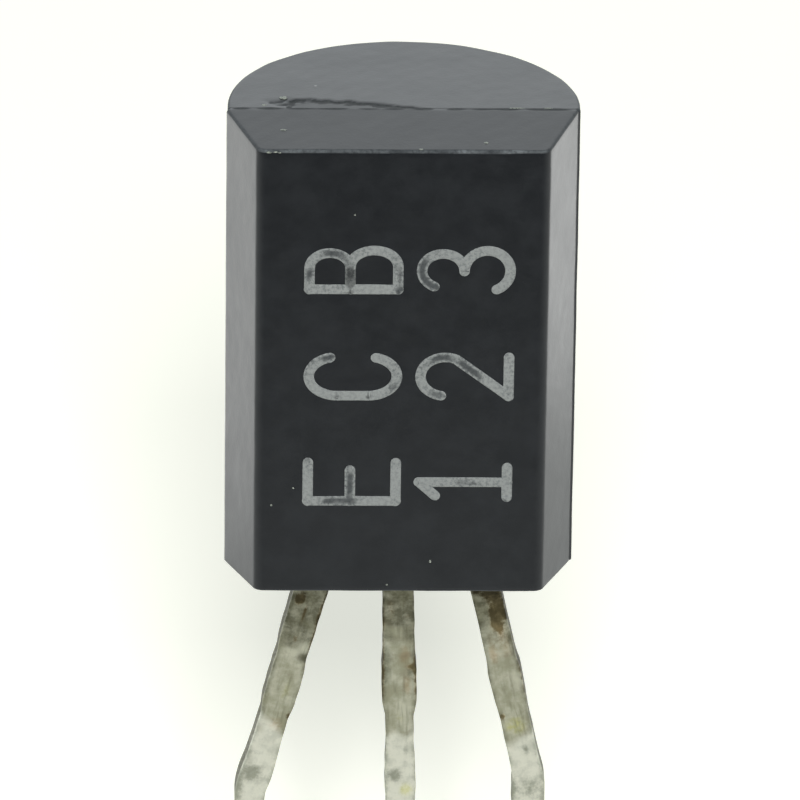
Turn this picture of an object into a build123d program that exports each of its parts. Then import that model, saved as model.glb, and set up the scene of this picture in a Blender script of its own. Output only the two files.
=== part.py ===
from build123d import *
import math
import os

# A small transistor in a long D-shaped moulded body with three formed leads.
# The frame is in millimetres. X runs along the row of leads, to the right as seen from the flat
# front. Y runs from front to back. Z is up. The origin is where the middle lead leaves the
# body's underside, in the plane where the two halves of the mould met.

# Moulded body
BODY_WIDTH = 6.0
BODY_HEIGHT = 8.5
FRONT_DEPTH = 1.5
FACE_WIDTH = 4.9
SIDE_LAND = 0.2
FRONT_DRAFT = 5.0
BACK_DRAFT = 1.5
FACE_CORNER_RADIUS = 0.2
RIM_RADIUS = 0.06
FRONT_HALF_SHIFT = -0.03
EJECTOR_DIAMETER = 1.2
EJECTOR_DEPTH = 0.07

BACK_RADIUS = BODY_WIDTH / 2
BACK_DEPTH = SIDE_LAND + BACK_RADIUS

# Stamped lead frame
FRAME_THICKNESS = 0.5
LEAD_WIDTH = 0.54
LEAD_LENGTH = 14.0
LEAD_PITCH = 1.45
LEAD_BEND_RADIUS = 1.2
TIP_CHAMFER = 0.08
STUB_WIDTH = 0.61
STUB_LENGTH = 1.2
STUB_DEPTH = 1.7
ANCHOR_WIDTH = 0.95
ANCHOR_HEIGHT = 0.35
ANCHOR_RISE = 0.9

# Splay of the leads below the body, as handled: where each bend is and where each foot ends up
EMITTER_BEND_DEPTH = 0.25
EMITTER_FOOT_DEPTH = 4.4
EMITTER_FOOT_X = -2.55
COLLECTOR_BEND_DEPTH = 0.3
COLLECTOR_FOOT_DEPTH = 4.6
COLLECTOR_FOOT_X = 0.09
BASE_BEND_DEPTH = 0.15
BASE_FOOT_DEPTH = 4.1
BASE_FOOT_X = 2.32

# Bonding posts at the top of the outer leads
POST_WIDTH = 0.9
POST_HEIGHT = 1.7
POST_RISE = 2.2
POST_CLEARANCE = 0.4
POST_CORNER_RADIUS = 0.12
WEB_RISE = 1.6

# Die paddle at the top of the middle lead
NECK_WIDTH = 0.9
PADDLE_WIDTH = 2.2
PADDLE_HEIGHT = 3.8
PADDLE_RISE = 2.9
PADDLE_CORNER_RADIUS = 0.25
LOCK_HOLE_DIAMETER = 0.7
LOCK_HOLE_DROP = 0.8

# Chip, solder and bond wires
DIE_SIDE = 1.2
DIE_THICKNESS = 0.25
DIE_RISE = 1.5
SOLDER_MARGIN = 0.06
SOLDER_THICKNESS = 0.03
WIRE_DIAMETER = 0.08
WIRE_SIDES = 8
WIRE_LOOP = 0.4
WIRE_BEND_RADIUS = 0.15
BALL_DIAMETER = 0.2
BALL_HEIGHT = 0.06
PAD_OFFSET = 0.3
POST_BOND_DROP = 0.5

POST_X = PADDLE_WIDTH / 2 + POST_CLEARANCE + POST_WIDTH / 2
POST_TOP = POST_RISE + POST_HEIGHT
PADDLE_TOP = PADDLE_RISE + PADDLE_HEIGHT
FRAME_FRONT = -FRAME_THICKNESS / 2
SOLDER_FRONT = FRAME_FRONT - SOLDER_THICKNESS
DIE_FRONT = SOLDER_FRONT - DIE_THICKNESS
DIE_Z = PADDLE_RISE + DIE_RISE
LEFT, RIGHT = -1, 1


def rise(depth, draft):
    """How far the top or bottom comes in over this depth from the parting plane."""
    return depth * math.tan(math.radians(draft))


def side_profile(depth, draft, way):
    """The half seen from the side, drafted top and bottom, pulled across the full width."""
    step = rise(depth, draft)
    outline = Polyline(
        (0, 0),
        (way * depth, step),
        (way * depth, BODY_HEIGHT - step),
        (0, BODY_HEIGHT),
        close=True,
    )
    return extrude(Plane.YZ * make_face(outline), amount=BODY_WIDTH, both=True)


def rim_edges(half):
    """Edges of the top and bottom faces, without those that lie on the parting plane."""
    faces = half.faces().sort_by(Axis.Z)
    edges = faces[0].edges() + faces[-1].edges()
    return [edge for edge in edges if abs(edge.center().Y) > RIM_RADIUS]


def front_half():
    """Flat front face between two bevelled side facets, all straight from the parting plane."""
    plan = Polyline(
        (-BODY_WIDTH / 2, 0),
        (-FACE_WIDTH / 2, -FRONT_DEPTH),
        (FACE_WIDTH / 2, -FRONT_DEPTH),
        (BODY_WIDTH / 2, 0),
        close=True,
    )
    half = extrude(make_face(plan), amount=BODY_HEIGHT)
    half = half & side_profile(FRONT_DEPTH, FRONT_DRAFT, LEFT)
    corners = [
        edge
        for edge in half.edges().filter_by(Axis.Z)
        if edge.center().Y < -FRONT_DEPTH / 2
    ]
    half = fillet(corners, FACE_CORNER_RADIUS)
    half = fillet(rim_edges(half), RIM_RADIUS)
    return Pos(FRONT_HALF_SHIFT, 0, 0) * half


def back_half():
    """Round back: short straight sides, then a half circle, with the ejector pin's flat mark."""
    start = (-BODY_WIDTH / 2, 0)
    shoulder = (-BODY_WIDTH / 2, SIDE_LAND)
    far_shoulder = (BODY_WIDTH / 2, SIDE_LAND)
    finish = (BODY_WIDTH / 2, 0)
    plan = Curve() + [
        Line(start, shoulder),
        ThreePointArc(shoulder, (0, BACK_DEPTH), far_shoulder),
        Line(far_shoulder, finish),
        Line(finish, start),
    ]
    half = extrude(make_face(plan), amount=BODY_HEIGHT)
    half = half & side_profile(BACK_DEPTH, BACK_DRAFT, RIGHT)
    half = fillet(rim_edges(half), RIM_RADIUS)
    pin_plane = Plane(
        origin=(0, BACK_DEPTH - EJECTOR_DEPTH, BODY_HEIGHT / 2), z_dir=(0, 1, 0)
    )
    pin = extrude(pin_plane * Circle(EJECTOR_DIAMETER / 2), amount=EJECTOR_DIAMETER)
    return half - pin


def epoxy_body(inserts):
    """The moulding, cast round everything it holds."""
    return front_half() + back_half() - inserts


def stamped(outline):
    """A flat shape in the XZ plane, stamped from the lead frame's sheet."""
    return extrude(Plane.XZ * outline, amount=FRAME_THICKNESS / 2, both=True)


def block(centre_x, bottom, width, height):
    """A rectangle of the stamping, by its centre line and its lower edge."""
    return Pos(centre_x, bottom) * Rectangle(width, height, align=(Align.CENTER, Align.MIN))


def lead_strip(exit_x, bend_depth, foot_x, foot_depth, top):
    """The lead's own strip, from inside the body down its slant to the cut tip."""
    line = FilletPolyline(
        (exit_x, 0, top),
        (exit_x, 0, -bend_depth),
        (foot_x, 0, -foot_depth),
        (foot_x, 0, -LEAD_LENGTH),
        radius=LEAD_BEND_RADIUS,
    )
    section = Plane(origin=line @ 0, z_dir=line % 0) * Rectangle(LEAD_WIDTH, FRAME_THICKNESS)
    strip = sweep(section, path=line)
    tip = strip.faces().sort_by(Axis.Z)[0]
    return chamfer(tip.edges(), TIP_CHAMFER)


def dam_bar_stub(exit_x, bend_depth, foot_x, foot_depth):
    """The wider stretch where the bar between the leads was cut away, set along the slant."""
    slope = (foot_x - exit_x) / (foot_depth - bend_depth)
    middle = STUB_DEPTH + STUB_LENGTH / 2
    centre = (exit_x + slope * (middle - bend_depth), 0, -middle)
    turn = -math.degrees(math.atan(slope))
    return Pos(*centre) * Rot(0, turn, 0) * Box(STUB_WIDTH, FRAME_THICKNESS, STUB_LENGTH)


def anchor(exit_x):
    """The wide shoulder inside the body that keeps the lead from being pulled out."""
    return stamped(block(exit_x, ANCHOR_RISE, ANCHOR_WIDTH, ANCHOR_HEIGHT))


def post_web(foot_x, head_x):
    """The slanted stretch that carries a post out to the side, clear of the paddle."""
    head_z = POST_RISE + POST_CORNER_RADIUS
    outline = Polyline(
        (foot_x - LEAD_WIDTH / 2, WEB_RISE),
        (foot_x + LEAD_WIDTH / 2, WEB_RISE),
        (head_x + POST_WIDTH / 2, head_z),
        (head_x - POST_WIDTH / 2, head_z),
        close=True,
    )
    return stamped(make_face(outline))


def outer_lead(side, bend_depth, foot_x, foot_depth):
    """Emitter or base lead: strip, shoulder, web and the post that its bond wire lands on."""
    exit_x = side * LEAD_PITCH
    post_x = side * POST_X
    post = block(post_x, POST_RISE, POST_WIDTH, POST_HEIGHT)
    post = fillet(post.vertices(), POST_CORNER_RADIUS)
    lead = lead_strip(exit_x, bend_depth, foot_x, foot_depth, WEB_RISE)
    lead += dam_bar_stub(exit_x, bend_depth, foot_x, foot_depth)
    lead += anchor(exit_x)
    lead += post_web(exit_x, post_x)
    return lead + stamped(post)


def middle_lead():
    """Collector lead: strip, shoulder, neck and the paddle that carries the chip."""
    paddle = block(0, PADDLE_RISE, PADDLE_WIDTH, PADDLE_HEIGHT)
    paddle = fillet(paddle.vertices(), PADDLE_CORNER_RADIUS)
    paddle -= Pos(0, PADDLE_TOP - LOCK_HOLE_DROP) * Circle(LOCK_HOLE_DIAMETER / 2)
    neck_bottom = ANCHOR_RISE + ANCHOR_HEIGHT
    neck = block(0, neck_bottom, NECK_WIDTH, PADDLE_RISE + PADDLE_CORNER_RADIUS - neck_bottom)
    place = (0, COLLECTOR_BEND_DEPTH, COLLECTOR_FOOT_X, COLLECTOR_FOOT_DEPTH)
    lead = lead_strip(*place, neck_bottom + LEAD_WIDTH)
    lead += dam_bar_stub(*place)
    lead += anchor(0)
    return lead + stamped(neck + paddle)


def on_paddle(front, thickness, side):
    """A square plate on the paddle's front face, by its own front and thickness."""
    plate = Box(side, thickness, side, align=(Align.CENTER, Align.MIN, Align.CENTER))
    return Pos(0, front, DIE_Z) * plate


def bond_wire(side):
    """From a ball on the chip out, across and back to a foot on the post, as an octagon."""
    pad = Vector(side * PAD_OFFSET, DIE_FRONT, DIE_Z + side * PAD_OFFSET)
    foot = Vector(side * POST_X, FRAME_FRONT, POST_TOP - POST_BOND_DROP)
    loop_y = DIE_FRONT - WIRE_LOOP
    line = FilletPolyline(
        pad,
        (pad.X, loop_y, pad.Z),
        (foot.X, loop_y, foot.Z),
        foot,
        radius=WIRE_BEND_RADIUS,
    )
    section = RegularPolygon(WIRE_DIAMETER / 2, WIRE_SIDES)
    wire = sweep(Plane(origin=line @ 0, z_dir=line % 0) * section, path=line)
    for landing in (pad, foot):
        seat = Plane(origin=landing, z_dir=(0, -1, 0))
        wire += extrude(seat * Circle(BALL_DIAMETER / 2), amount=BALL_HEIGHT)
    return wire


def build():
    """Every piece by its name. The body comes last, because it is cast round all the others."""
    emitter = outer_lead(LEFT, EMITTER_BEND_DEPTH, EMITTER_FOOT_X, EMITTER_FOOT_DEPTH)
    base = outer_lead(RIGHT, BASE_BEND_DEPTH, BASE_FOOT_X, BASE_FOOT_DEPTH)
    parts = {
        "emitter_lead": emitter,
        "collector_lead": middle_lead(),
        "base_lead": base,
        "die_attach": on_paddle(SOLDER_FRONT, SOLDER_THICKNESS, DIE_SIDE + 2 * SOLDER_MARGIN),
        "silicon_die": on_paddle(DIE_FRONT, DIE_THICKNESS, DIE_SIDE),
        "emitter_bond_wire": bond_wire(LEFT),
        "base_bond_wire": bond_wire(RIGHT),
    }
    parts["epoxy_body"] = epoxy_body(list(parts.values()))
    return parts


os.makedirs("parts", exist_ok=True)
for name, shape in build().items():
    shape.label = name
    export_step(shape, f"parts/{name}.step")
    print(name, "volume", round(shape.volume, 3), "mm3")
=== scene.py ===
# %% [markdown]
# # A small transistor in a moulded epoxy body
# A black resin block, poured round a stamped lead frame, with three tin-plated leads below it.
# Its construction is already settled in another program. Here Blender gives it what the eye
# sees: worn rims, the seam where the mould halves met, the scar of the gate, the printed pin
# key and the tarnish on the leads. Loading the construction first gives every later cell a
# fixed frame to measure from, so no piece has to be fitted by eye.

# %% Load the construction
import math
import bpy
import numpy as np
from mathutils import Matrix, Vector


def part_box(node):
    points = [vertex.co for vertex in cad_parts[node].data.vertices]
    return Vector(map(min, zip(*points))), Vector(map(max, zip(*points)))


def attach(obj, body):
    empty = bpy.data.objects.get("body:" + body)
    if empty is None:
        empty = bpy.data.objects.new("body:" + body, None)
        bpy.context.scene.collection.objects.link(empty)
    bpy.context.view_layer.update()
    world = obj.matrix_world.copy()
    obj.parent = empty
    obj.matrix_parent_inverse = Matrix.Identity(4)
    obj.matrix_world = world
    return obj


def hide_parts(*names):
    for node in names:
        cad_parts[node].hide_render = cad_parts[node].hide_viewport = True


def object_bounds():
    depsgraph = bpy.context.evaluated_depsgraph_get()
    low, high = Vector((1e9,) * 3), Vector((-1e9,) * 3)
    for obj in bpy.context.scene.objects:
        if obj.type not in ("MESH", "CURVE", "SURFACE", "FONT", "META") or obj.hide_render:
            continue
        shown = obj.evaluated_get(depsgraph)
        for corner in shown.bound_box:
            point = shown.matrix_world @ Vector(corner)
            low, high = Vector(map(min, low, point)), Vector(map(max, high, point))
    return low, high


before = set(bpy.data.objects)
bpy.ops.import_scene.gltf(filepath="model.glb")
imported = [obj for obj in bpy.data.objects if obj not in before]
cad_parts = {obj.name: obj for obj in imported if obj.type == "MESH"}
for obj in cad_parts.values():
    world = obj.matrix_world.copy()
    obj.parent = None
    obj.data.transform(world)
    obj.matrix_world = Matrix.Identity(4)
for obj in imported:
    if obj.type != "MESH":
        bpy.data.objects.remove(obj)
cad_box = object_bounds()

MM = 0.001
BODY_LOW, BODY_HIGH = (np.array(corner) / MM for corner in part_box("epoxy_body"))
print("body box in mm", BODY_LOW.round(3), BODY_HIGH.round(3))

# %% [markdown]
# ## The camera
# The photo was taken from a fair distance with a long lens, a little above the part and a
# touch to its left. A long lens is right because it keeps the sides of a small object nearly
# parallel. The aim point, the distance and the small roll put the part in the frame as in the
# photo, so the lens needs no shift.

# %% Camera
CAMERA_AIM = (-0.006, 0.0, 3.062)
CAMERA_DISTANCE = 168.82
CAMERA_AZIMUTH = -1.4115
CAMERA_ELEVATION = 24.75
CAMERA_ROLL = 0.77
CAMERA_LENS = 442.4
SENSOR_WIDTH = 36.0


def camera_axes(azimuth, elevation, roll):
    """Right, up and back of a camera. Back points from the aim to the camera."""
    turn, tilt, twist = (math.radians(angle) for angle in (azimuth, elevation, roll))
    back = np.array(
        (math.sin(turn) * math.cos(tilt), -math.cos(turn) * math.cos(tilt), math.sin(tilt))
    )
    level = np.cross((0, 0, 1), back)
    level /= np.linalg.norm(level)
    upright = np.cross(back, level)
    right = math.cos(twist) * level + math.sin(twist) * upright
    up = math.cos(twist) * upright - math.sin(twist) * level
    return right, up, back


def add_camera():
    """Puts the camera on a line back from its aim and makes it the scene's own."""
    right, up, back = camera_axes(CAMERA_AZIMUTH, CAMERA_ELEVATION, CAMERA_ROLL)
    place = (np.array(CAMERA_AIM) + CAMERA_DISTANCE * back) * MM
    data = bpy.data.cameras.new("portrait_camera")
    data.lens = CAMERA_LENS
    data.sensor_width = SENSOR_WIDTH
    data.clip_start = CAMERA_DISTANCE / 10 * MM
    camera = bpy.data.objects.new("portrait_camera", data)
    bpy.context.scene.collection.objects.link(camera)
    pose = np.eye(4)
    pose[:3] = np.column_stack((right, up, back, place))
    camera.matrix_world = Matrix(pose.tolist())
    bpy.context.scene.camera = camera
    return place


print("camera at", add_camera().round(4), "m")
bpy.context.scene.view_settings.view_transform = "Standard"

# %% [markdown]
# ## Helpers for meshes
# Every new piece is a surface worked out with numpy as rows of points. A tube of closed rings
# is the commonest form here: leads, ink strokes and slivers of resin are all rings carried
# along a path, with a point at each end. One function makes such a tube, another puts any
# points and faces into Blender and measures the volume they enclose. A negative volume means
# that the faces point inwards, so they are turned round. Nothing real is perfectly even, so
# a third function gives smooth random heights, always the same ones for the same seed.

# %% Mesh helpers


def enclosed(points, faces):
    """Signed volume. Each face is a fan of triangles, and each triangle makes a tetrahedron with
    the origin, whose volume is a sixth of the triple product of its corners."""
    volume = 0.0
    for corner in range(1, faces.shape[1] - 1):
        a, b, c = points[faces[:, 0]], points[faces[:, corner]], points[faces[:, corner + 1]]
        volume += np.einsum("ij,ij->i", a, np.cross(b, c)).sum() / 6
    return volume


def add_piece(name, points, faces, material, slot, marks=None):
    """Makes one object from points in mm and a list of face arrays, all facing outwards."""
    volume = sum(enclosed(points, group) for group in faces)
    if volume < 0:
        faces = [group[:, ::-1] for group in faces]
    mesh = bpy.data.meshes.new(name)
    mesh.from_pydata((points * MM).tolist(), [], [row for group in faces for row in group.tolist()])
    mesh.polygons.foreach_set("use_smooth", np.ones(len(mesh.polygons), bool))
    for name_of_mark, values in (marks or {}).items():
        kind, field = ("FLOAT", "value") if values.ndim == 1 else ("FLOAT_VECTOR", "vector")
        layer = mesh.attributes.new(name_of_mark, kind, "POINT")
        layer.data.foreach_set(field, values.astype(np.float32).ravel())
    mesh.materials.append(material)
    piece = bpy.data.objects.new(name, mesh)
    bpy.context.scene.collection.objects.link(piece)
    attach(piece, "root")
    print(name, len(mesh.polygons), "faces", round(abs(volume), 4), "mm3")
    return piece


def tube(rings):
    """Points and faces of closed rings in a row, shape (rings, around, 3), with a pole each end."""
    count, around = rings.shape[:2]
    index = np.arange(count * around).reshape(count, around)
    beside = np.roll(index, -1, axis=1)
    quads = np.stack((index[:-1], beside[:-1], beside[1:], index[1:]), axis=-1).reshape(-1, 4)
    poles = np.stack((rings[0].mean(axis=0), rings[-1].mean(axis=0)))
    first = np.full(around, count * around)
    start = np.stack((first, beside[0], index[0]), axis=-1)
    end = np.stack((first + 1, index[-1], beside[-1]), axis=-1)
    return np.vstack((rings.reshape(-1, 3), poles)), [quads, np.vstack((start, end))]


def join_shells(shells):
    """Several closed shells as one piece: their points in a row, and each shell's face numbers
    moved up by the points that come before it."""
    points, quads, triangles, used = [], [], [], 0
    for shell_points, (shell_quads, shell_triangles) in shells:
        points.append(shell_points)
        quads.append(shell_quads + used)
        triangles.append(shell_triangles + used)
        used += len(shell_points)
    return np.vstack(points), [np.vstack(quads), np.vstack(triangles)]


def ripple(points, wavelength, seed, waves=28):
    """Smooth random height of about -1 to 1: plane waves of one length, each with its own
    direction and phase, added together and divided by the root of their number."""
    draw = np.random.default_rng(seed)
    direction = draw.normal(size=(points.shape[-1], waves))
    direction /= np.linalg.norm(direction, axis=0)
    phase = draw.uniform(0, 2 * np.pi, waves)
    angle = points @ direction * (2 * np.pi / wavelength) + phase
    return np.cos(angle).sum(axis=-1) * math.sqrt(2 / waves)


def smooth_step(low, high, value):
    """0 below low, 1 above high, and the S curve of three squares less two cubes between."""
    share = np.clip((value - low) / (high - low), 0, 1)
    return share * share * (3 - 2 * share)


# %% [markdown]
# ## Helpers for materials
# Colours are written as sRGB hex, as a paint card gives them, and turned to the linear values
# that a shader works in. One function adds any node with its settings and links, so a material
# below reads as a list of nodes, each under the name of what it stands for. Patterns are scaled
# from real sizes: a noise texture on Object coordinates repeats once per metre at scale 1, so a
# grain of so many millimetres has the scale of one over that size. Most of a noise lies between
# 0.3 and 0.7, so a pair of numbers in that range says where a pattern starts to show and where
# it is full.

# %% Material helpers
NOISE, RANGE, MATH = "ShaderNodeTexNoise", "ShaderNodeMapRange", "ShaderNodeMath"
MIX, MARK, BUMP = "ShaderNodeMix", "ShaderNodeAttribute", "ShaderNodeBump"
SOFT = {"interpolation_type": "SMOOTHSTEP"}
TIMES, PLUS, LESS, LARGER = (
    {"operation": name} for name in ("MULTIPLY", "ADD", "SUBTRACT", "MAXIMUM")
)
# A Mix node for colours has them at its sockets 6 and 7, and gives one at its output 2
BLEND, STAIN = {"data_type": "RGBA"}, {"data_type": "RGBA", "blend_type": "MULTIPLY"}


def linear(hex_colour):
    """An sRGB hex colour as linear red, green, blue and a full alpha, by the standard's curve:
    a short straight start, then a power of 2.4."""
    parts = [int(hex_colour[place : place + 2], 16) / 255 for place in (1, 3, 5)]
    curved = [((part + 0.055) / 1.055) ** 2.4 if part > 0.04045 else part / 12.92 for part in parts]
    return curved + [1]


def scale_of(size_mm):
    """The texture scale at which one feature of a pattern is about this size."""
    return 1 / (size_mm * MM)


def grain(place, size_mm, detail=3.0, rough=0.6):
    """The inputs of a noise with features of this size."""
    return {"Vector": place, "Scale": scale_of(size_mm), "Detail": detail, "Roughness": rough}


def span(low, high, to_low=0.0, to_high=1.0):
    """The inputs that stretch the range low to high onto to_low to to_high."""
    return {"From Min": low, "From Max": high, "To Min": to_low, "To Max": to_high}


def add_node(tree, kind, inputs=None, settings=None):
    """Adds a node and gives its outputs. An input is a value, a hex colour or another node's
    output. Settings are the node's own fields."""
    new = tree.nodes.new(kind)
    for field, value in (settings or {}).items():
        setattr(new, field, value)
    for socket, value in (inputs or {}).items():
        if isinstance(value, bpy.types.NodeSocket):
            tree.links.new(value, new.inputs[socket])
        else:
            new.inputs[socket].default_value = linear(value) if isinstance(value, str) else value
    return new.outputs


def new_material(name):
    """A material with an empty Principled shader: its tree, the shader and Object coordinates."""
    material = bpy.data.materials.new(name)
    material.use_nodes = True
    tree = material.node_tree
    shader = tree.nodes["Principled BSDF"]
    place = add_node(tree, "ShaderNodeTexCoord")["Object"]
    return material, tree, shader, place


print("mid grey #808080 is", round(linear("#808080")[0], 3), "in linear light")

# %% [markdown]
# ## Black epoxy moulding compound
# The body is epoxy resin filled with fine silica and a little carbon black, pressed into a
# spark-eroded steel mould. That gives a near-black, faintly mottled surface with a fine matte
# grain, dark when seen square on and grey where it is seen at a grazing angle. Epoxy's index
# of about 1.5 is matched down a little, because the filler and the grain break up the gloss.
# Where a rim has rubbed, the pale silica shows. Where resin has torn off, and where dirt has
# settled in the seam, the surface is raw and dull. Those places come from marks in the mesh,
# because they follow the shape and not a pattern in space.

# %% Epoxy
EPOXY_BLACKS = ("#101215", "#16181b")
EPOXY_RAW = ("#1d1f20", "#343735")
EPOXY_WORN = "#5a5e60"
EPOXY_DUST = "#8b8d8a"
EPOXY_INDEX = 1.45
EPOXY_ROUGHNESS = (0.28, 0.33)
DULLED_BY = 0.4
# The real grain is about 0.02 mm, too fine to show here, so it is drawn coarser
GRAIN_SIZE = 0.07
GRAIN_HEIGHT = 0.0018
MOTTLE_SIZE = 0.45
DUST_SPACING = 1.1
DUST_SHARE = 0.035


def moulded_epoxy():
    """Filled epoxy, moulded: mottled black with a few specks of dust, paler where a rim is worn,
    raw where torn, and duller in both."""
    material, tree, shader, place = new_material("black_epoxy_moulding_compound")
    fine = add_node(tree, NOISE, grain(place, GRAIN_SIZE, 4.0))["Fac"]
    coarse = add_node(tree, NOISE, grain(place, MOTTLE_SIZE, 5.0, 0.65))["Fac"]
    worn = add_node(tree, MARK, settings={"attribute_name": "worn"})["Fac"]
    torn = add_node(tree, MARK, settings={"attribute_name": "torn"})["Fac"]
    black, paler = EPOXY_BLACKS
    mottle = add_node(tree, RANGE, {"Value": coarse, **span(0.35, 0.7)}, SOFT)[0]
    colour = add_node(tree, MIX, {"Factor": mottle, 6: black, 7: paler}, BLEND)[2]
    cells = {"Vector": place, "Scale": scale_of(DUST_SPACING)}
    from_speck = add_node(tree, "ShaderNodeTexVoronoi", cells)["Distance"]
    speck = {"Value": from_speck, **span(DUST_SHARE * 0.5, DUST_SHARE, 0.5, 0.0)}
    dust = add_node(tree, RANGE, speck, SOFT)[0]
    colour = add_node(tree, MIX, {"Factor": dust, 6: colour, 7: EPOXY_DUST}, BLEND)[2]
    rubbed = add_node(tree, RANGE, {"Value": fine, **span(0.3, 0.62, 0.35, 1.0)}, SOFT)[0]
    pale = add_node(tree, MATH, {0: worn, 1: rubbed}, TIMES)[0]
    colour = add_node(tree, MIX, {"Factor": pale, 6: colour, 7: EPOXY_WORN}, BLEND)[2]
    dark, light = EPOXY_RAW
    crumbly = add_node(tree, RANGE, {"Value": fine, **span(0.42, 0.7)}, SOFT)[0]
    raw = add_node(tree, MIX, {"Factor": crumbly, 6: dark, 7: light}, BLEND)[2]
    colour = add_node(tree, MIX, {"Factor": torn, 6: colour, 7: raw}, BLEND)[2]
    tree.links.new(colour, shader.inputs["Base Color"])
    rough = add_node(tree, RANGE, {"Value": coarse, **span(0.2, 0.8, *EPOXY_ROUGHNESS)}, SOFT)[0]
    hurt = add_node(tree, MATH, {0: worn, 1: torn}, LARGER)[0]
    dull = add_node(tree, RANGE, {"Value": hurt, **span(0.0, 0.5, 0.0, DULLED_BY)}, SOFT)[0]
    roughness = add_node(tree, MATH, {0: rough, 1: dull}, PLUS)[0]
    tree.links.new(roughness, shader.inputs["Roughness"])
    shader.inputs["IOR"].default_value = EPOXY_INDEX
    bump = {"Height": fine, "Distance": GRAIN_HEIGHT * MM, "Strength": 1.0}
    tree.links.new(add_node(tree, BUMP, bump)[0], shader.inputs["Normal"])
    return material


epoxy = moulded_epoxy()
print("epoxy grain", GRAIN_SIZE, "mm, mottling", MOTTLE_SIZE, "mm")

# %% [markdown]
# ## The body's outline
# Seen from above, the body is a flat front, two bevelled facets and a round back. The front
# half was moulded a hair to the left of the back half, so there is a small ledge at the seam.
# A half-round profile and straight lines could be traced by hand, but working the outline out
# from a few sizes keeps it the same as the construction. Each point also gets the direction
# straight out of the surface, which rounds the rims later.

# %% Outline
HALF_WIDTH = BODY_HIGH[0]
HALF_SHIFT = BODY_LOW[0] + BODY_HIGH[0]
FRONT_DEPTH = -BODY_LOW[1]
BACK_DEPTH = BODY_HIGH[1]
HEIGHT = BODY_HIGH[2]
FACE_WIDTH = 4.9
CORNER_RADIUS = 0.2
SIDE_LAND = 0.2
SEAM_HALF_WIDTH = 0.04
SEAM_DEPTH = 0.014
END_SEAM_DEPTH = 0.005
BACK_START = 50.0
FACE_STEPS, CORNER_STEPS, FACET_STEPS, SEAM_STEPS, LAND_STEPS, SHOULDER_STEPS = 84, 6, 26, 3, 4, 50


def straight(start, end, count):
    """Evenly spaced points from start up to end, and the outward direction to their right."""
    start, end = np.array(start), np.array(end)
    share = np.arange(count)[:, None] / count
    along = (end - start) / np.linalg.norm(end - start)
    outward = np.tile((along[1], -along[0]), (count, 1))
    return start + share * (end - start), outward


def arc(centre, radius, start, end, count):
    """Points on a circle by angle, up to the end, whose outward direction is the radius."""
    angle = np.radians(start + (end - start) * np.arange(count) / count)
    outward = np.column_stack((np.cos(angle), np.sin(angle)))
    return np.array(centre) + radius * outward, outward


def body_outline():
    """The plan, anticlockwise from the middle of the left front corner, point by point."""
    run = HALF_WIDTH - FACE_WIDTH / 2
    turn = math.degrees(math.atan2(FRONT_DEPTH, run))
    tangent = CORNER_RADIUS * math.tan(math.radians(turn / 2))
    flat_end = FACE_WIDTH / 2 - tangent
    corner_y = CORNER_RADIUS - FRONT_DEPTH
    facet_start = (FACE_WIDTH / 2 + tangent * math.cos(math.radians(turn)), 0)
    facet_y = tangent * math.sin(math.radians(turn)) - FRONT_DEPTH
    seam = HALF_WIDTH - SEAM_DEPTH
    mirror = np.array((-1, 1))

    def flank(way):
        """One flank from the corner to the shoulder, drawn on the right. The way is 1 for the
        right flank and -1 for the one that is mirrored to the left."""
        shift = way * HALF_SHIFT
        half_turn = turn / 2 - 90
        front_edge = (HALF_WIDTH + shift - SEAM_HALF_WIDTH * run / FRONT_DEPTH, -SEAM_HALF_WIDTH)
        back_edge = (HALF_WIDTH, SEAM_HALF_WIDTH)
        pieces = [
            arc((flat_end + shift, corner_y), CORNER_RADIUS, half_turn, turn - 90, CORNER_STEPS),
            straight((facet_start[0] + shift, facet_y), front_edge, FACET_STEPS),
            straight(front_edge, (seam + min(shift, 0), 0), SEAM_STEPS),
            straight((seam + min(shift, 0), 0), back_edge, SEAM_STEPS),
            straight(back_edge, (HALF_WIDTH, SIDE_LAND), LAND_STEPS),
            arc((0, SIDE_LAND), HALF_WIDTH, 0, BACK_START, SHOULDER_STEPS),
        ]
        facet_out, land_out = pieces[1][1][0], np.array((1.0, 0.0))
        for seam_piece in pieces[2:4]:
            seam_piece[1][:] = (facet_out + land_out) / np.linalg.norm(facet_out + land_out)
        return np.vstack([piece[0] for piece in pieces]), np.vstack([piece[1] for piece in pieces])

    left_corner = (HALF_SHIFT - flat_end, corner_y)
    right_corner = (HALF_SHIFT + flat_end, corner_y)
    half = turn / 2
    front = [
        arc(left_corner, CORNER_RADIUS, -90 - half, -90, CORNER_STEPS),
        straight((left_corner[0], -FRONT_DEPTH), (right_corner[0], -FRONT_DEPTH), FACE_STEPS),
        arc(right_corner, CORNER_RADIUS, -90, -90 + half, CORNER_STEPS),
    ]
    back_count = FACE_STEPS + 2 * CORNER_STEPS
    back = arc((0, SIDE_LAND), HALF_WIDTH, BACK_START, 180 - BACK_START, back_count)
    right = flank(1)
    left = flank(-1)
    end = arc((0, SIDE_LAND), HALF_WIDTH, BACK_START, BACK_START + 1, 1)
    left = [np.vstack((part, tail))[:0:-1] * mirror for part, tail in zip(left, end)]
    parts = [*front, right, back, left]
    return np.vstack([part[0] for part in parts]), np.vstack([part[1] for part in parts])


outline, outward = body_outline()
steps = np.linalg.norm(np.roll(outline, -1, axis=0) - outline, axis=1)
print(len(outline), "outline points, spaced", steps.min().round(3), "to", steps.max().round(3), "mm")

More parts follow.
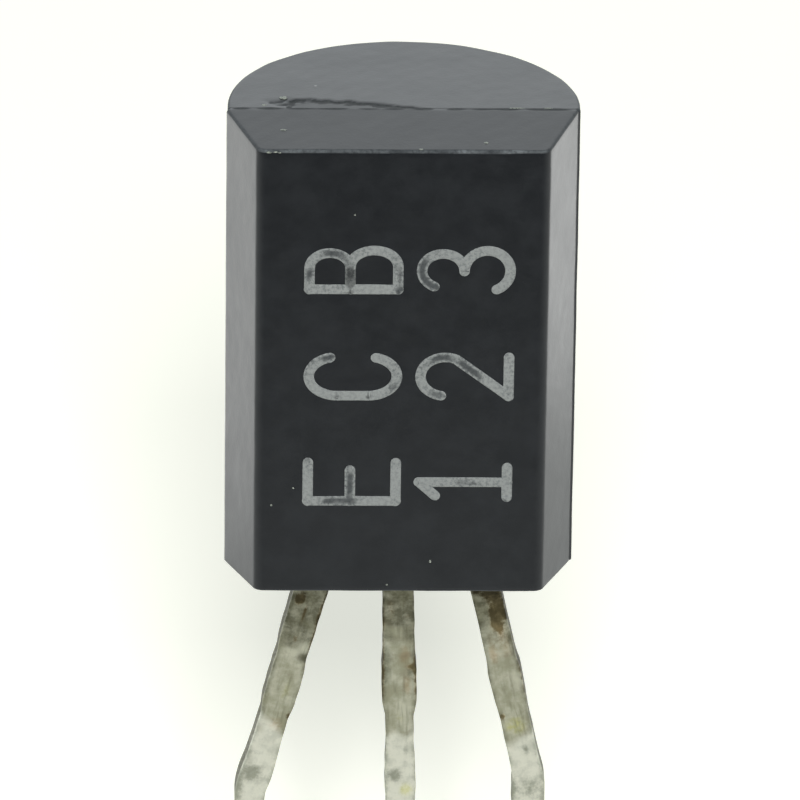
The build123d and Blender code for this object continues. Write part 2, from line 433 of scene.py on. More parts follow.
# %% [markdown]
# ## The body's surface
# The outline is carried up the body ring by ring: out of the underside, round its rim, up the
# straight wall, round the top rim and onto the top. Both ends are drafted, so they slope away
# from the seam like two shallow roofs. Each end is closed with a grid whose rows run straight
# from flank to flank, because then the seam has a row of its own and stays a clean line. A
# scaled-down outline meeting at one point would be easier, but it would blur the seam.

# %% Rings and end faces
TOP_RIM_RADIUS = 0.06
UNDER_RIM_RADIUS = 0.035
RIM_STEPS = 7
WALL_STEPS = 132
FRONT_DRAFT, BACK_DRAFT = 5.0, 1.5
GRADING_SAMPLES = 2001
ROWS = CORNER_STEPS + FACET_STEPS + 2 * SEAM_STEPS + LAND_STEPS + SHOULDER_STEPS
COLUMNS = FACE_STEPS + 2 * CORNER_STEPS


def end_drop(y):
    """How far an end face has sloped in at this distance from the seam, with the seam's groove."""
    draft = np.where(y < 0, FRONT_DRAFT, BACK_DRAFT)
    groove = END_SEAM_DEPTH * np.clip(1 - np.abs(y) / SEAM_HALF_WIDTH, 0, 1)
    return np.abs(y) * np.tan(np.radians(draft)) + groove


def graded(count, centre, half_width, boost):
    """Shares from 0 to 1, packed more closely round a centre: the inverse of a running sum."""
    share = np.linspace(0, 1, GRADING_SAMPLES)
    density = 1 + boost * np.exp(-(((share - centre) / half_width) ** 4))
    total = np.concatenate(([0], np.cumsum((density[1:] + density[:-1]) / 2)))
    return np.interp(np.linspace(0, 1, count) * total[-1], total, share)


def rim_rings(radius, top):
    """A quarter circle of rings round a rim, from the end face to the wall: their points, the
    way out of the surface, and how near each is to the middle of the rounding, from 0 to 1."""
    angle = np.linspace(0, math.pi / 2, RIM_STEPS + 1)[:, None]
    inset = radius * (1 - np.sin(angle))
    plan = outline - inset[..., None] * outward
    drop = radius * (1 - np.cos(angle)) + end_drop(plan[..., 1])
    rise = np.broadcast_to(np.cos(angle), inset.shape)
    out = np.dstack((outward * np.sin(angle)[..., None], rise if top else -rise))
    rings = np.dstack((plan, HEIGHT - drop if top else drop))
    return rings, out, np.sin(2 * angle) * np.ones(inset.shape)


def end_grid(ring):
    """Plan of an end face: each row is a straight line between the flanks, plus a share of how
    far the front or the back edge strays from its own straight line. The share is a square
    that fades to 0 at the seam."""
    share = np.linspace(0, 1, COLUMNS + 1)[:, None]
    front, right = ring[: COLUMNS + 1], ring[COLUMNS : COLUMNS + ROWS + 1]
    back = ring[COLUMNS + ROWS : 2 * COLUMNS + ROWS + 1][::-1]
    left = np.vstack((ring[2 * COLUMNS + ROWS :], ring[:1]))[::-1]
    level = left[:, 1]
    near = np.clip(level / level[0], 0, 1) ** 2
    far = np.clip((level - SIDE_LAND) / (level[-1] - SIDE_LAND), 0, 1) ** 2
    grid = (1 - share) * left[:, None] + share * right[:, None]
    grid += near[:, None, None] * (front - grid[0])
    grid += far[:, None, None] * (back - grid[-1])
    return grid


print(ROWS, "rows and", COLUMNS, "columns on each end face")

# %% [markdown]
# ## Scars on the top
# The gate is where the resin flowed into the mould. Breaking off the sprue left a rough pit at
# the top left, and a thin wedge of the back half tore away along the seam beside it. Both are
# real hollows in the end face: a height is taken off the grid, and the same shape is kept as a
# mark, so that the material can show the raw resin exactly there. Dirt along the seam is no
# more than a mark.

# %% Gate scar and torn wedge
GATE_PLACE = (-2.06, 0.30)
GATE_RADII = (0.30, 0.20)
GATE_DEPTH = 0.02
GATE_EDGE = (0.6, 1.15)
TORN_X = (-2.0, -1.85, -0.67, 0.28, 0.42)
TORN_Y = (0.0, 0.50, 0.30, 0.07, 0.0)
TORN_STEP = 0.022
TORN_FOOT = 0.14
TORN_EDGE_EASE, TORN_END_EASE, TORN_START_EASE = 0.045, 0.1, 0.02
TORN_MARK, TORN_FOOT_MARK = 0.2, 0.7
SEAM_DIRT_REACH = 0.05
# For each ragged thing: its middle value, how far it strays, over what length in mm, its seed
RAGGED = {
    "gate edge": (0.0, 0.15, 0.22, 11),
    "gate floor": (0.6, 0.25, 0.16, 12),
    "torn edge": (0.0, 0.022, 0.3, 13),
    "torn foot": (0.0, 0.03, 0.2, 14),
    "seam dirt": (0.6, 0.3, 0.45, 15),
}


def ragged(flat, thing):
    """A ripple round a middle value, for one ragged thing on the top."""
    middle, stray, length, seed = RAGGED[thing]
    return middle + stray * ripple(flat, length, seed)


def top_scars(x, y):
    """Depth of the scars below the top face in mm, and how torn or dirty it is, from 0 to 1.
    The gate's pit is an oval bowl. The torn wedge gets deeper in a straight line from the seam
    to its ragged far edge, where it ends in a step, and the seam's groove is gone inside it."""
    flat = np.stack((x, y), axis=-1)
    far = np.hypot((x - GATE_PLACE[0]) / GATE_RADII[0], (y - GATE_PLACE[1]) / GATE_RADII[1])
    bowl = 1 - smooth_step(*GATE_EDGE, far + ragged(flat, "gate edge"))
    pit = bowl * ragged(flat, "gate floor")
    edge = np.interp(x, TORN_X, TORN_Y) + ragged(flat, "torn edge")
    inside = smooth_step(0, TORN_EDGE_EASE, edge - y) * smooth_step(0, TORN_END_EASE, edge)
    wedge = inside * TORN_STEP * np.clip(y / np.clip(edge, 0.01, None), 0, 1)
    groove = inside * END_SEAM_DEPTH * np.clip(1 - np.abs(y) / SEAM_HALF_WIDTH, 0, 1)
    from_edge = edge - y + ragged(flat, "torn foot")
    foot = TORN_MARK + TORN_FOOT_MARK * smooth_step(TORN_FOOT, TORN_FOOT / 3, from_edge)
    raw = inside * smooth_step(-TORN_START_EASE, TORN_START_EASE, y) * foot
    dirt = np.clip(1 - np.abs(y) / SEAM_DIRT_REACH, 0, 1) * ragged(flat, "seam dirt")
    torn = np.clip(np.maximum(0.5 * pit + raw, dirt), 0, 1)
    return pit * GATE_DEPTH + wedge - groove, torn


print("gate pit", GATE_DEPTH, "mm deep, torn step", TORN_STEP, "mm high")

# %% [markdown]
# ## The wall and its ends
# The wall joins the two rims. Its rings stand closer together at mid height, because the
# ejector pin's mark needs them there. The rims' radius wanders by a few thousandths of a
# millimetre, so that the light along a rim is broken as on a real one. Each end face keeps the
# rim's own points as its border, and so the surface is closed without doubled points.

# %% Wall and end faces
RIM_UNEVEN = 0.004
RIM_WAVE, RIM_SEED = 0.7, 23
WALL_GRADING = (0.5, 0.1, 1.2)


def wall_rings():
    """Rings from the underside's rim, up the wall, to the top's rim: their points, the way out
    of the surface, and how near each is to the middle of a rounding."""
    flat = np.column_stack((outline, np.zeros(len(outline))))
    uneven = RIM_UNEVEN * ripple(flat, RIM_WAVE, RIM_SEED)
    low, low_out, low_edge = rim_rings(UNDER_RIM_RADIUS + uneven / 4, False)
    high, high_out, high_edge = (part[::-1] for part in rim_rings(TOP_RIM_RADIUS + uneven, True))
    share = graded(WALL_STEPS + 1, *WALL_GRADING)[1:-1, None]
    z = low[-1, :, 2] + share * (high[0, :, 2] - low[-1, :, 2])
    wall = np.dstack((np.broadcast_to(outline, (*z.shape, 2)), z))
    wall_out = np.dstack((np.broadcast_to(outward, (*z.shape, 2)), np.zeros(z.shape)))
    edge = np.vstack((low_edge, np.zeros(z.shape), high_edge))
    return np.vstack((low, wall, high)), np.vstack((low_out, wall_out, high_out)), edge


def end_face(ring, edge, used, top):
    """The grid that closes an end: its points inside the ring, how torn they are, and faces."""
    inner = end_grid(ring)[1:-1, 1:-1].reshape(-1, 2)
    drop, torn = end_drop(inner[:, 1]), np.zeros(len(inner))
    if top:
        scar, torn = top_scars(*inner.T)
        drop += scar
    cells = np.zeros((ROWS + 1, COLUMNS + 1), int)
    cells[1:-1, 1:-1] = used + np.arange(len(inner)).reshape(ROWS - 1, COLUMNS - 1)
    cells[0] = edge[: COLUMNS + 1]
    cells[:, -1] = edge[COLUMNS : COLUMNS + ROWS + 1]
    cells[-1] = edge[COLUMNS + ROWS : 2 * COLUMNS + ROWS + 1][::-1]
    cells[:, 0] = np.append(edge[2 * COLUMNS + ROWS :], edge[0])[::-1]
    faces = np.stack((cells[:-1, :-1], cells[:-1, 1:], cells[1:, 1:], cells[1:, :-1]), axis=-1)
    faces = faces.reshape(-1, 4)
    points = np.column_stack((inner, HEIGHT - drop if top else drop))
    return points, torn, faces if top else faces[:, ::-1]


rings, out, edge = wall_rings()
print(len(rings), "rings from", rings[..., 2].min().round(3), "to", rings[..., 2].max().round(3), "mm")

# %% [markdown]
# ## Wear and the ejector's mark
# Handling rubs the rims, most of all the long one at the top of the flat front, so the wear is
# a mark on the mesh that follows the roundings. The ejector pin pushed the part out of the
# mould and left a flat circle on the round back: the points inside a circle are pulled onto
# one plane. A boolean cut would do it too, but would leave long thin faces round the circle.

# %% Worn rims and ejector mark
FRONT_RIM_START, FRONT_RIM_FULL = -1.38, -1.46
RIM_WEAR, FRONT_RIM_WEAR, PATCH_WEAR = 0.3, 0.25, 0.8
WEAR_RIPPLE, WEAR_WAVE, WEAR_SEED = 0.12, 0.5, 24
WEAR_SPREAD = 0.6
# Each rubbed patch on the front rim: its X, its half length and how much it is rubbed
RIM_PATCHES = ((-2.35, 0.10, 0.8), (-1.2, 0.5, 0.15), (0.98, 0.13, 0.7), (1.85, 0.22, 0.5))
MARK_HEIGHT = HEIGHT / 2
MARK_RADIUS = 0.6
MARK_DEPTH = 0.07
MARK_EDGE = 0.05


def rubbed_rims(rings, edge):
    """Wear, from 0 to 1: a little on every rounding, and more on the top's front rim, where
    bell curves along X add the patches."""
    x, y, z = np.moveaxis(rings, -1, 0)
    front = smooth_step(FRONT_RIM_START, FRONT_RIM_FULL, y) * (z > HEIGHT / 2)
    patches = sum(much * np.exp(-(((x - place) / long) ** 2)) for place, long, much in RIM_PATCHES)
    uneven = WEAR_RIPPLE * ripple(rings, WEAR_WAVE, WEAR_SEED)
    wear = RIM_WEAR + front * (FRONT_RIM_WEAR + PATCH_WEAR * patches + uneven)
    return np.clip(edge**WEAR_SPREAD * wear, 0, 1)


def press_ejector_mark(points):
    """Pulls the points of the round back inside a circle forward onto one plane."""
    far = np.hypot(points[:, 0], points[:, 2] - MARK_HEIGHT)
    inside = 1 - smooth_step(MARK_RADIUS, MARK_RADIUS + MARK_EDGE, far)
    proud = np.clip(points[:, 1] - (BACK_DEPTH - MARK_DEPTH), 0, None)
    points[:, 1] -= inside * (points[:, 1] > BACK_DEPTH / 2) * proud


worn = rubbed_rims(rings, edge)
print("ejector mark", 2 * MARK_RADIUS, "mm wide, wear up to", worn.max().round(2))

# %% [markdown]
# ## Putting the body together
# Everything above now meets in one closed surface. Very shallow ripples, a few thousandths of
# a millimetre deep, keep its reflections from looking computed, because real resin shrinks a
# little unevenly as it cures. They only ever sink, so the body stays inside its true size.

# %% Body
# Each ripple: its length and depth in mm, and its seed
RIPPLES = ((1.1, 0.0020, 21), (0.3, 0.0006, 22))
SINK = 2.2


def body_surface(rings, out, worn):
    """Wall, rims and both end faces as one closed surface: points, faces and marks. A ripple
    moves each point along the way out by its depth times a height less the sink."""
    index = np.arange(worn.size).reshape(worn.shape)
    beside = np.roll(index, -1, axis=1)
    wall = np.stack((index[:-1], beside[:-1], beside[1:], index[1:]), axis=-1).reshape(-1, 4)
    under = end_face(rings[0, :, :2], index[0], index.size, False)
    top = end_face(rings[-1, :, :2], index[-1], index.size + len(under[0]), True)
    points = np.vstack((rings.reshape(-1, 3), under[0], top[0]))
    ends = [np.tile((0.0, 0.0, way), (len(end[0]), 1)) for end, way in ((under, -1.0), (top, 1.0))]
    ways_out = np.vstack((out.reshape(-1, 3), *ends))
    for length, depth, seed in RIPPLES:
        height = depth * (np.tanh(ripple(points, length, seed)) - SINK)
        points = points + ways_out * height[:, None]
    press_ejector_mark(points)
    flat = np.zeros(len(under[0]) + len(top[0]))
    marks = {
        "worn": np.append(worn.ravel(), flat),
        "torn": np.concatenate((np.zeros(worn.size), under[1], top[1])),
    }
    return points, [np.vstack((wall, under[2], top[2]))], marks


points, faces, marks = body_surface(rings, out, worn)
body = add_piece("moulded_body", points, faces, epoxy, "moulded_epoxy", marks)
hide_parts("epoxy_body")
print("body surface box in mm", points.min(axis=0).round(3), points.max(axis=0).round(3))

# %% [markdown]
# ## Flecks of pale filler
# A few grains of silica and slivers of flash stand out from the resin: beside the gate, along
# the seam and on the front rim. Each is a flat lump of its own, half sunk in the surface. Dots
# painted into the material would be simpler, but only a real lump catches the light.

# %% Flecks
FLECK_RISE = 0.006
TOP_FLECK_SEED, FACE_FLECK_SEED = 61, 81
DENT, DENT_WAVE = 0.18, 1.3
LUMP_POLES, LUMP_RINGS, LUMP_SIDES = (12, 168), 7, 14
# Each fleck on the top: its X and Y, its half length along X and along Y
TOP_FLECKS = (
    (-2.046, 0.493, 0.075, 0.085),
    (-2.372, 0.145, 0.06, 0.05),
    (-2.055, -0.764, 0.065, 0.04),
    (0.259, -1.44, 0.05, 0.045),
    (1.356, -1.196, 0.05, 0.045),
    (1.91, 0.05, 0.19, 0.025),
    (2.45, 0.05, 0.08, 0.025),
)
# Each fleck on the front: its X and Z, its half length along X and along Z
FACE_FLECKS = (
    (-0.847, 7.183, 0.022, 0.02),
    (0.509, 0.709, 0.025, 0.03),
    (-0.225, 0.264, 0.02, 0.02),
    (-2.219, 1.763, 0.025, 0.02),
    (-1.845, 2.089, 0.02, 0.02),
    (1.446, 4.04, 0.018, 0.022),
    (-2.30, 8.325, 0.05, 0.02),
    (-2.19, 8.33, 0.04, 0.016),
    (-2.12, 8.32, 0.03, 0.014),
)


def lump(centre, radii, seed):
    """A pebble: rings of a ball from pole to pole, dented by ripples and stretched to radii."""
    polar = np.radians(np.linspace(*LUMP_POLES, LUMP_RINGS))[:, None]
    around = np.radians(np.linspace(0, 360, LUMP_SIDES, endpoint=False))
    ball = np.dstack((
        np.sin(polar) * np.cos(around),
        np.sin(polar) * np.sin(around),
        np.cos(polar) * np.ones(len(around)),
    ))
    ball *= (1 - DENT - DENT * np.tanh(ripple(ball, DENT_WAVE, seed)))[..., None]
    return tube(np.array(centre) + ball * radii)


def filler_flecks():
    """All the flecks as one piece: those on the top lie flat, those on the face stand up."""
    shells = []
    for seed, (x, y, long, wide) in enumerate(TOP_FLECKS, TOP_FLECK_SEED):
        surface = HEIGHT - float(end_drop(np.array(y))) - FLECK_RISE
        shells.append(lump((x, y, surface), (long, wide, FLECK_RISE), seed))
    for seed, (x, z, long, wide) in enumerate(FACE_FLECKS, FACE_FLECK_SEED):
        shells.append(lump((x, FLECK_RISE - FRONT_DEPTH, z), (long, FLECK_RISE, wide), seed))
    return join_shells(shells)


SILICA_GREYS = ("#484c47", "#858a80")
CRACK_SIZE = 0.03


def silica_filler():
    """Fused silica, crushed: pale, slightly green grey, dull, with darker cracks."""
    material, tree, shader, place = new_material("fused_silica_filler")
    cracks = add_node(tree, NOISE, grain(place, CRACK_SIZE, 3.0))["Fac"]
    dark, light = SILICA_GREYS
    whole = add_node(tree, RANGE, {"Value": cracks, **span(0.35, 0.6)}, SOFT)[0]
    colour = add_node(tree, MIX, {"Factor": whole, 6: dark, 7: light}, BLEND)[2]
    tree.links.new(colour, shader.inputs["Base Color"])
    rough = add_node(tree, RANGE, {"Value": cracks, **span(0.2, 0.8, 0.4, 0.7)}, SOFT)[0]
    tree.links.new(rough, shader.inputs["Roughness"])
    return material


add_piece("filler_flecks", *filler_flecks(), silica_filler(), "moulded_epoxy")

# %% [markdown]
# ## Tin-plated copper leads
# The leads are copper alloy, stamped with the frame and plated with tin. Years in the air have
# dulled the tin to an olive grey with darker blotches, and a painted shade darkens it near the
# body. Further down, solder has wetted the leads: it is brighter, cooler and smoother.
# A metal takes its colour from its base colour, so the tarnish is drawn as patches and stains
# of base colour. Only two things stop being metal: the thick brown film of resin, and the
# oxide on the sheared edges, where the stamping left the strip's sides bare.

# %% Tarnished tin
TIN_PATCHES = ("#a3a189", "#cdcbb6")
TIN_STREAKS, TIN_BLOTCHES, TIN_SHADE = "#77755f", "#8a7f70", "#565440"
SOLDER = ("#e6e4d4", "#d3d2c2")
# The dull grey marks grey patches and also lays a painted shade along the strip's edges
GREY_DULL_AND_EDGE_SHADE, WARM_BLUSH, YELLOW_STAIN, BROWN_FILM = "#c3c5c0", "#f5e8dd", "#faf9cc", "#857b67"
EDGE_OXIDE = "#55533f"
TIN_METALLIC, TIN_ROUGHNESS = 0.9, (0.44, 0.56)
OXIDE_SPECULAR, OXIDE_ROUGHNESS = 0.1, 0.8
PATCH_SIZE = 0.5
BLOTCH_SIZE = 0.2
FINE_SIZE = 0.05
STREAK_WIDTH = 0.07
STREAK_STRETCH = 0.12
PLATING_UNEVEN = 0.005


def overlay(tree, colour, name, over, breakup, full=1.15):
    """Stains the colour where a mark says so, with a ragged edge, as a thin layer would: what
    lies under it still shows, so the two are multiplied. Gives the colour and the cover."""
    where = add_node(tree, MARK, settings={"attribute_name": name})["Fac"]
    patchy = add_node(tree, RANGE, {"Value": breakup, **span(0.25, 0.7, 0.35, 1.5)}, SOFT)[0]
    broken = add_node(tree, MATH, {0: where, 1: patchy}, TIMES)[0]
    cover = add_node(tree, RANGE, {"Value": broken, **span(0.08, full)}, SOFT)[0]
    return add_node(tree, MIX, {"Factor": cover, 6: colour, 7: over}, STAIN)[2], cover


def tarnished_tin():
    """Tin plate, dipped and weathered: soft patches in olive, tan and grey, over fine streaks
    along the strip. The marks lay a painted shade, solder, stains and resin over it, in that order."""
    material, tree, shader, place = new_material("tin_plate_tarnished")
    strip = add_node(tree, MARK, settings={"attribute_name": "strip"})["Vector"]
    shaded, wetted, bare = (
        add_node(tree, MARK, settings={"attribute_name": name})["Fac"]
        for name in ("shade", "wetted", "sheared")
    )
    squeeze = {"Vector": strip, "Scale": (1.0, 1.0, STREAK_STRETCH)}
    along = add_node(tree, "ShaderNodeMapping", squeeze)[0]
    streaks = add_node(tree, NOISE, grain(along, STREAK_WIDTH, 3.0, 0.6))["Fac"]
    patches = add_node(tree, NOISE, grain(place, PATCH_SIZE, 5.0, 0.62))["Fac"]
    blotches = add_node(tree, NOISE, grain(strip, BLOTCH_SIZE, 4.0, 0.65))["Fac"]
    fine = add_node(tree, NOISE, grain(place, FINE_SIZE, 3.0))["Fac"]

    olive, grey = TIN_PATCHES
    patchy = add_node(tree, RANGE, {"Value": patches, **span(0.36, 0.64)}, SOFT)[0]
    colour = add_node(tree, MIX, {"Factor": patchy, 6: olive, 7: grey}, BLEND)[2]
    streaky = add_node(tree, RANGE, {"Value": streaks, **span(0.5, 0.75, 0.0, 0.45)}, SOFT)[0]
    colour = add_node(tree, MIX, {"Factor": streaky, 6: colour, 7: TIN_STREAKS}, BLEND)[2]
    spotty = add_node(tree, RANGE, {"Value": blotches, **span(0.56, 0.76, 0.0, 0.4)}, SOFT)[0]
    colour = add_node(tree, MIX, {"Factor": spotty, 6: colour, 7: TIN_BLOTCHES}, BLEND)[2]
    # Painted shade: dark olive close under the body and along the strip's edges, broken up by the
    # blotches
    uneven = add_node(tree, RANGE, {"Value": blotches, **span(0.36, 0.62, 0.6, 1.15)}, SOFT)[0]
    shade = add_node(tree, MATH, {0: shaded, 1: uneven}, TIMES)[0]
    colour = add_node(tree, MIX, {"Factor": shade, 6: colour, 7: TIN_SHADE}, BLEND)[2]
    bright, cool = SOLDER
    mottle = add_node(tree, RANGE, {"Value": blotches, **span(0.38, 0.66)}, SOFT)[0]
    solder = add_node(tree, MIX, {"Factor": mottle, 6: bright, 7: cool}, BLEND)[2]
    colour = add_node(tree, MIX, {"Factor": wetted, 6: colour, 7: solder}, BLEND)[2]
    # The dull grey holds grey patches and a painted shade along the strip's edges
    for name, over in (("dull", GREY_DULL_AND_EDGE_SHADE), ("blush", WARM_BLUSH), ("stain", YELLOW_STAIN)):
        colour, _ = overlay(tree, colour, name, over, blotches)
    grainy = add_node(tree, RANGE, {"Value": fine, **span(0.3, 0.6, 0.7, 1.0)}, SOFT)[0]
    sheared = add_node(tree, MATH, {0: bare, 1: grainy}, TIMES)[0]
    colour = add_node(tree, MIX, {"Factor": sheared, 6: colour, 7: EDGE_OXIDE}, BLEND)[2]
    colour, resin = overlay(tree, colour, "film", BROWN_FILM, blotches, 0.8)
    tree.links.new(colour, shader.inputs["Base Color"])

    oxide = add_node(tree, MATH, {0: resin, 1: sheared}, LARGER)[0]
    metallic = add_node(tree, RANGE, {"Value": oxide, **span(0, 1, TIN_METALLIC, 0)}, SOFT)[0]
    tree.links.new(metallic, shader.inputs["Metallic"])
    specular = add_node(tree, RANGE, {"Value": oxide, **span(0, 1, 0.5, OXIDE_SPECULAR)}, SOFT)[0]
    tree.links.new(specular, shader.inputs["Specular IOR Level"])
    tinned = add_node(tree, RANGE, {"Value": patches, **span(0.3, 0.7, *TIN_ROUGHNESS)}, SOFT)[0]
    oxidised = add_node(tree, MATH, {0: sheared, 1: OXIDE_ROUGHNESS}, TIMES)[0]
    roughness = add_node(tree, MATH, {0: tinned, 1: oxidised}, LARGER)[0]
    tree.links.new(roughness, shader.inputs["Roughness"])
    bump = {"Height": streaks, "Distance": PLATING_UNEVEN * MM, "Strength": 1.0}
    tree.links.new(add_node(tree, BUMP, bump)[0], shader.inputs["Normal"])
    return material


tin = tarnished_tin()
print("tarnish patches", PATCH_SIZE, "mm, streaks", STREAK_WIDTH, "mm wide")

# %% [markdown]
# ## The shape of a lead
# A lead is one strip of the stamped frame: a thin rectangle with softly rolled edges, carried
# along a line that leaves the body straight, slants outwards and straightens again. Its width
# changes on the way: a square tip, the wider stub where the bar between the leads was cut, a
# shoulder inside the body and the post or paddle at its top. So one function does all three:
# a rounded rectangle whose half width is a function of the distance along the line.

# %% Lead surface
FRAME_HALF_THICKNESS = 0.25
EDGE_RADIUS = 0.045
BEND_RADIUS = 1.2
TIP_CHAMFER = 0.08
LEAD_LENGTH = -cad_box[0][2] / MM
STATION_SPACING = 0.05
INNER_STATIONS = 60
LINE_SAMPLES = 4001
SIDE_POINTS, CORNER_POINTS = 10, 4
SWELL_EASE, SWELL_SAMPLES = 0.3, 21
# Depths where the plating starts to be uneven, is fully so, starts to end and has ended
PLATED_SPAN = (0.0, 0.5, 13.5, 13.9)
# Each unevenness of the plating: how much and over what length, both in mm
PLATING_RIPPLES = ((0.004, 1.3), (0.003, 0.35))


def rounded_section():
    """Once round a rounded rectangle: how much of the flat width and thickness each point
    takes, from -1 to 1, and its outward direction in the corner circles."""
    flat = np.linspace(-1, 1, SIDE_POINTS + 1)
    turns = np.radians(np.linspace(0, 90, CORNER_POINTS + 2)[1:-1])
    sides = np.array(((1, 0), (0, 1), (-1, 0), (0, -1)))
    take, out = [], []
    for along, across in zip(sides, np.roll(sides, 1, axis=0)):
        take.append(flat[:, None] * along + across)
        out.append(np.tile(across, (len(flat), 1)))
        take.append(np.tile(along + across, (len(turns), 1)))
        out.append(np.sin(turns)[:, None] * along + np.cos(turns)[:, None] * across)
    return np.vstack(take), np.vstack(out)


def bent_line(depth, exit_x, bend_depth, foot_x, foot_depth):
    """Sideways place and slope of a lead at each depth: the slope rises and falls evenly
    through each bend, and the place is its running sum."""
    rise = (foot_x - exit_x) / (foot_depth - bend_depth)
    reach = BEND_RADIUS * math.tan(math.atan(abs(rise)) / 2)
    fine = np.linspace(0, LEAD_LENGTH, LINE_SAMPLES)
    knees = (bend_depth - reach, bend_depth + reach, foot_depth - reach, foot_depth + reach)
    slope = np.interp(fine, knees, (0, rise, rise, 0))
    place = exit_x + np.concatenate(([0], np.cumsum((slope[1:] + slope[:-1]) / 2) * fine[1]))
    return np.interp(depth, fine, place), np.interp(depth, fine, slope)


def smooth_table(depth, table):
    """A value read from pairs of depth and value, averaged under a bell of raised cosine, so it
    has no kinks."""
    shifts = np.linspace(-SWELL_EASE, SWELL_EASE, SWELL_SAMPLES)
    weight = 1 + np.cos(np.pi * shifts / SWELL_EASE)
    return np.interp(depth[:, None] + shifts, *np.array(table).T) @ weight / weight.sum()


def lead_rings(bends, widths, shift_x, swell, seed):
    """Rings of a lead from its inner end down to its tip: a rounded rectangle set square to
    the line. Its outer stretch swells and shrinks a little with the plating and solder."""
    knots, halves = np.array(widths).T
    inner = np.linspace(knots[0], 0, INNER_STATIONS)
    outer = np.arange(0, LEAD_LENGTH, STATION_SPACING)
    depth = np.concatenate((inner, outer, knots, [LEAD_LENGTH - TIP_CHAMFER, LEAD_LENGTH]))
    depth = np.unique(depth.round(3))
    place, slope = bent_line(depth, *bends)
    place = place + np.interp(depth, *np.array(shift_x).T)
    trim = np.clip(depth - (LEAD_LENGTH - TIP_CHAMFER), 0, None)
    take, out = rounded_section()
    lean = np.arctan(slope)
    half = np.interp(depth, knots, halves) + smooth_table(depth, swell)
    wave = np.column_stack((depth, np.zeros_like(depth), np.full_like(depth, seed)))
    start, full, ending, ended = PLATED_SPAN
    plated = smooth_step(start, full, depth) * (1 - smooth_step(ending, ended, depth))
    for number, (much, length) in enumerate(PLATING_RIPPLES):
        half = half + plated * much * ripple(wave, length, seed + number)
    radius = np.minimum(EDGE_RADIUS, half)[:, None]
    flat_width = half[:, None] - radius - trim[:, None]
    flat_thick = FRAME_HALF_THICKNESS - radius - trim[:, None]
    side = take[:, 0] * flat_width + out[:, 0] * radius
    front = take[:, 1] * flat_thick + out[:, 1] * radius
    x = place[:, None] + side * np.cos(lean)[:, None]
    z = side * np.sin(lean)[:, None] - depth[:, None]
    rings = np.stack((x, front, z), axis=-1)
    return rings, np.dstack((side, front, -depth[:, None] * np.ones_like(side)))


print(len(rounded_section()[0]), "points once round a lead")

# %% [markdown]
# ## Widths along a lead
# A width table is a list of depths, each with the half width there. Depths above the body's
# underside are below zero. The outer leads start with the post that their bond wire lands on,
# the middle one with the paddle that carries the chip and the neck below it. After that all
# three are alike: the shoulder that locks them in the resin, the strip, the wider stub where
# the bar between the leads was cut away, and the strip again down to the tip.

# %% Width tables
LEAD_HALF_WIDTH = 0.27
STUB_HALF_WIDTH = 0.305
ANCHOR_HALF_WIDTH = 0.475
POST_HALF_WIDTH, NECK_HALF_WIDTH, PADDLE_HALF_WIDTH = 0.45, 0.45, 1.1
POST_TOP, PADDLE_TOP, PADDLE_BOTTOM = 3.9, 6.7, 2.9
POST_CORNER, PADDLE_CORNER, CORNER_STATIONS = 0.12, 0.25, 6
WEB_SPAN = (-2.32, -1.6)
ANCHOR_SPAN = (-1.25, -0.9)
STUB_SPAN, STUB_EASE = (1.7, 2.9), 0.3
# A square step in the construction's outline is this long here
STEP = 0.02


def rounded_end(top, half, radius):
    """Widths at an end with round corners: the half width follows a quarter circle."""
    angle = np.radians(np.linspace(0, 90, CORNER_STATIONS))
    return list(zip(-top + radius * (1 - np.cos(angle)), half - radius * (1 - np.sin(angle))))


POST = rounded_end(POST_TOP, POST_HALF_WIDTH, POST_CORNER)
PADDLE_END = rounded_end(PADDLE_TOP, PADDLE_HALF_WIDTH, PADDLE_CORNER)
PADDLE_FOOT = [(-depth - PADDLE_TOP - PADDLE_BOTTOM, half) for depth, half in PADDLE_END][::-1]
NECK = [(STEP - PADDLE_BOTTOM, NECK_HALF_WIDTH), (ANCHOR_SPAN[0] - STEP, NECK_HALF_WIDTH)]
COMMON = [
    (ANCHOR_SPAN[0], ANCHOR_HALF_WIDTH),
    (ANCHOR_SPAN[1], ANCHOR_HALF_WIDTH),
    (ANCHOR_SPAN[1] + STEP, LEAD_HALF_WIDTH),
    (STUB_SPAN[0], LEAD_HALF_WIDTH),
    (STUB_SPAN[0] + STUB_EASE, STUB_HALF_WIDTH),
    (STUB_SPAN[1] - STUB_EASE, STUB_HALF_WIDTH),
    (STUB_SPAN[1], LEAD_HALF_WIDTH),
    (LEAD_LENGTH, LEAD_HALF_WIDTH),
]
WEB = [(WEB_SPAN[0], POST_HALF_WIDTH), (WEB_SPAN[1], LEAD_HALF_WIDTH)]
OUTER_WIDTHS = POST + WEB + [(ANCHOR_SPAN[0] - STEP, LEAD_HALF_WIDTH)] + COMMON
MIDDLE_WIDTHS = PADDLE_END + PADDLE_FOOT + NECK + COMMON
print(len(OUTER_WIDTHS), "widths on an outer lead,", len(MIDDLE_WIDTHS), "on the middle one")

# %% [markdown]
# ## What makes each lead its own
# The bends, the widths and the shift of each post are the construction's sizes. The rest are
# the marks of this one part's life, read from its photo, and a painted shade. Each lead swells
# and shrinks a little with its plating and solder. Brown film clings where resin had crept along
# the frame, a painted shade darkens it close under the body, and solder has wetted the lower
# stretch with a ragged upper edge. A table of them is quicker to correct than a painted picture,
# and it needs no picture file.

# %% Tables of the leads
LEAD_PITCH = 1.45
POST_SHIFT = 0.5
